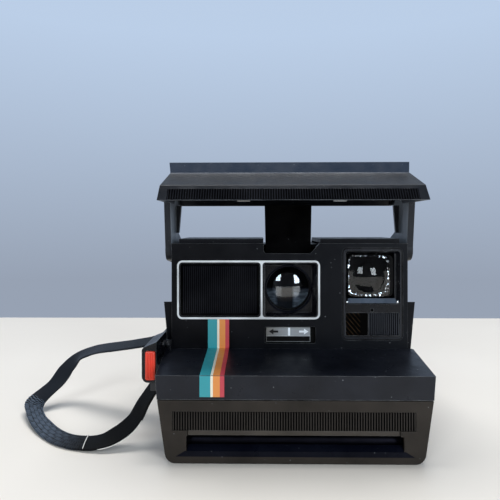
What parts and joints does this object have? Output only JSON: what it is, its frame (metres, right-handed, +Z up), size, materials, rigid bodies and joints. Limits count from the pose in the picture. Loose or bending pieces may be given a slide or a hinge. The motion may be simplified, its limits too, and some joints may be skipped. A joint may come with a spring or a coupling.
{
  "type": "instant camera",
  "caption": "Box-type instant camera: hinged front hood with a coupled sliding lens door, recessed lens, viewfinder, drop-down film door with rollers, sprung button and a webbing hand strap.",
  "frame": {"origin": "on the flat base face, in line with the taking lens and under the middle of the body's depth", "axes": "+X to the right of a person facing the lens, +Y from the front to the back, +Z up"},
  "size_m": [0.2044, 0.1502, 0.1323],
  "materials": {
    "casing": "satin blue-black moulded plastic, fine texture",
    "hood": "satin dark grey-blue moulded plastic",
    "door": "satin warm brown-black moulded plastic",
    "trim_black": "semi-gloss black plastic",
    "ribbed_plate": "ribbed matt black plastic",
    "frame_line": "light grey printed plastic line",
    "lens_glass": "clear coated lens",
    "finder_lens": "clear moulded lens block",
    "sensor_glass": "dark smoked window",
    "eyepiece_glass": "clear eyepiece",
    "counter_glass": "clear window",
    "inner_black": "flat black inner plastic",
    "button": "ribbed red-orange plastic",
    "slider": "light grey plastic with an arrow at each end",
    "stripe": "plain banded sticker",
    "steel": "bright steel",
    "spring_steel": "spring steel",
    "mirror": "front-silvered mirror",
    "gear": "natural acetal",
    "motor": "plated motor can",
    "coil": "copper winding",
    "circuit_board": "green laminate",
    "pack": "film pack plastic",
    "film": "film sheets",
    "battery": "flat battery card",
    "counter": "white counter wheel",
    "webbing": "woven black nylon webbing"
  },
  "bodies": {
    "body": {"base_shell": "casing", "rear_housing": "casing", "shelf_cover": "casing", "front_panel": "casing", "lens_frame": "frame_line", "name_panel": "ribbed_plate", "lens_funnel": "trim_black", "lens_barrel": "inner_black", "taking_lens": "lens_glass", "shutter_plate": "inner_black", "solenoid": "coil", "viewfinder_surround": "trim_black", "viewfinder_lens": "finder_lens", "viewfinder_tube": "inner_black", "eyepiece": "eyepiece_glass", "sensor_window": "sensor_glass", "sensor_grille": "ribbed_plate", "photocell": "inner_black", "slider_track": "inner_black", "button_housing": "trim_black", "button_spring": "spring_steel", "mirror": "mirror", "mirror_carrier": "inner_black", "exposure_chamber": "inner_black", "circuit_board": "circuit_board", "motor": "motor", "drive_gear_stud": "steel", "film_pack": "pack", "film_sheets": "film", "pack_spring": "spring_steel", "pack_battery": "battery", "counter_window": "counter_glass", "hinge_pins": "steel", "hood_pivots": "trim_black", "stripe_decal": "stripe", "strap_lug_front": "trim_black", "strap_lug_rear": "trim_black", "strap": "webbing", "case_screws": "steel"},
    "hood": {"hood_cover": "hood", "hood_liner": "inner_black", "hood_arm_left": "hood", "hood_arm_right": "hood"},
    "lens_door": {"lens_door": "trim_black"},
    "film_door": {"film_door": "door", "door_band": "ribbed_plate", "roller_frame": "steel"},
    "upper_roller": {"upper_roller": "steel", "upper_roller_gear": "gear"},
    "lower_roller": {"lower_roller": "steel", "lower_roller_gear": "gear"},
    "drive_gear": {"drive_gear": "gear"},
    "motor_pinion": {"motor_pinion": "gear"},
    "shutter_button": {"shutter_button": "button"},
    "exposure_slider": {"exposure_slider": "slider"},
    "door_latch": {"door_latch": "trim_black"},
    "blade_left": {"shutter_blade_left": "steel"},
    "blade_right": {"shutter_blade_right": "steel"},
    "counter_wheel": {"counter_wheel": "counter"}
  },
  "joints": [
    {"name": "hood_hinge", "type": "hinge", "parent": "body", "child": "hood", "pos_m": [0, -0.005, 0.086], "axis": [1, 0, 0], "range_deg": [0, 66]},
    {"name": "lens_door_slide", "type": "slide", "parent": "body", "child": "lens_door", "axis": [0, 0, -1], "range_m": [0, 0.023]},
    {"name": "film_door_hinge", "type": "hinge", "parent": "body", "child": "film_door", "pos_m": [0, -0.058, 0.0025], "axis": [1, 0, 0], "range_deg": [0, 75]},
    {"name": "upper_roller_spin", "type": "hinge", "parent": "film_door", "child": "upper_roller", "pos_m": [0, -0.066, 0.0155], "axis": [1, 0, 0], "continuous": true},
    {"name": "lower_roller_spin", "type": "hinge", "parent": "film_door", "child": "lower_roller", "pos_m": [0, -0.066, 0.0065], "axis": [1, 0, 0], "continuous": true},
    {"name": "drive_gear_spin", "type": "hinge", "parent": "body", "child": "drive_gear", "pos_m": [0, -0.05509, 0.0205], "axis": [1, 0, 0], "continuous": true},
    {"name": "motor_pinion_spin", "type": "hinge", "parent": "body", "child": "motor_pinion", "pos_m": [0, -0.04648, 0.02812], "axis": [1, 0, 0], "continuous": true},
    {"name": "shutter_button_press", "type": "slide", "parent": "body", "child": "shutter_button", "axis": [0, 1, 0], "range_m": [0, 0.0015], "stiffness_N_per_m": 600, "springref_m": -0.0012},
    {"name": "exposure_slide", "type": "slide", "parent": "body", "child": "exposure_slider", "axis": [1, 0, 0], "range_m": [-0.004, 0.004]},
    {"name": "door_latch_slide", "type": "slide", "parent": "body", "child": "door_latch", "axis": [0, 1, 0], "range_m": [0, 0.003], "stiffness_N_per_m": 200, "springref_m": -0.001},
    {"name": "left_blade_slide", "type": "slide", "parent": "body", "child": "blade_left", "axis": [1, 0, 0], "range_m": [0, 0.012], "stiffness_N_per_m": 20, "springref_m": -0.002},
    {"name": "right_blade_slide", "type": "slide", "parent": "body", "child": "blade_right", "axis": [-1, 0, 0], "range_m": [0, 0.012]},
    {"name": "counter_spin", "type": "hinge", "parent": "body", "child": "counter_wheel", "pos_m": [0, 0.0646, 0.03], "axis": [0, 0, 1], "range_deg": [-300, 0]}
  ],
  "couplings": [
    {"joint": "lens_door_slide", "follows": "hood_hinge", "m_per_rad": 0.01988},
    {"joint": "lower_roller_spin", "follows": "upper_roller_spin", "ratio": -1},
    {"joint": "drive_gear_spin", "follows": "upper_roller_spin", "ratio": -0.6},
    {"joint": "motor_pinion_spin", "follows": "upper_roller_spin", "ratio": 1.125},
    {"joint": "right_blade_slide", "follows": "left_blade_slide", "ratio": 1}
  ]
}
